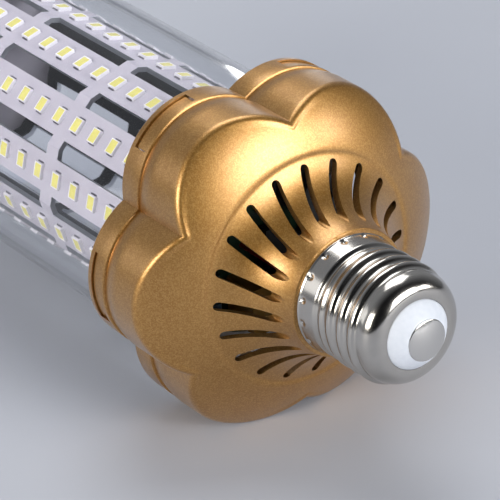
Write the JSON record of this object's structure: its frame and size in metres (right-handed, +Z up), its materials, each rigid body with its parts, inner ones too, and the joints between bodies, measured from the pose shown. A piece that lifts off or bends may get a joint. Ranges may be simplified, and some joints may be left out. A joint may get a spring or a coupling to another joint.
{
  "type": "corn led bulb",
  "caption": "Screw-base corn LED bulb lying on its side: clear round cover over a slotted many-sided light board, gold lobed vented housing and nickel screw cap.",
  "frame": {"origin": "on the floor under the middle of the lying bulb", "axes": "+X along the bulb's axis towards the screw cap, +Z up, one valley of the lobed housing straight down"},
  "size_m": [0.1852, 0.078, 0.0725],
  "materials": {
    "nickel": "bright nickel plate on rolled brass",
    "contact_nickel": "dull nickel plate",
    "white_insulator": "white moulded insulator",
    "gold_finish": "champagne-gold satin metallic paint on moulded plastic",
    "clear_plastic": "clear gloss plastic",
    "white_board": "white solder mask on aluminium",
    "led_chip": "yellow phosphor in a white frame",
    "white_plastic": "white moulded plastic",
    "screw_steel": "zinc-plated steel",
    "circuit_board": "bare paper-phenolic board",
    "capacitor_sleeve": "black shrink sleeve on an aluminium can",
    "ferrite": "ferrite with a dark sleeve",
    "film_box": "red epoxy box",
    "black_package": "black moulded package with tinned legs",
    "resistor_body": "grey-green lacquer with tinned wires",
    "red_sleeve": "red insulated lead",
    "black_sleeve": "black insulated lead"
  },
  "bodies": {
    "root": {"screw_shell": "nickel", "centre_contact": "contact_nickel", "cap_insulator": "white_insulator", "lamp_housing": "gold_finish", "clear_cover": "clear_plastic", "led_board": "white_board", "end_board": "white_board", "end_leds": "led_chip", "base_plate": "white_plastic", "plate_screws": "screw_steel", "driver_board": "circuit_board", "main_capacitor": "capacitor_sleeve", "output_capacitor": "capacitor_sleeve", "drum_inductor": "ferrite", "film_capacitor": "film_box", "bridge_rectifier": "black_package", "driver_chip": "black_package", "fuse_resistor": "resistor_body", "live_lead": "red_sleeve", "neutral_lead": "black_sleeve", "led_lead_positive": "red_sleeve", "led_lead_negative": "black_sleeve", "led_row_01": "led_chip", "led_row_02": "led_chip", "led_row_03": "led_chip", "led_row_04": "led_chip", "led_row_05": "led_chip", "led_row_06": "led_chip", "led_row_07": "led_chip", "led_row_08": "led_chip", "led_row_09": "led_chip", "led_row_10": "led_chip", "led_row_11": "led_chip", "led_row_12": "led_chip"}
  },
  "joints": []
}
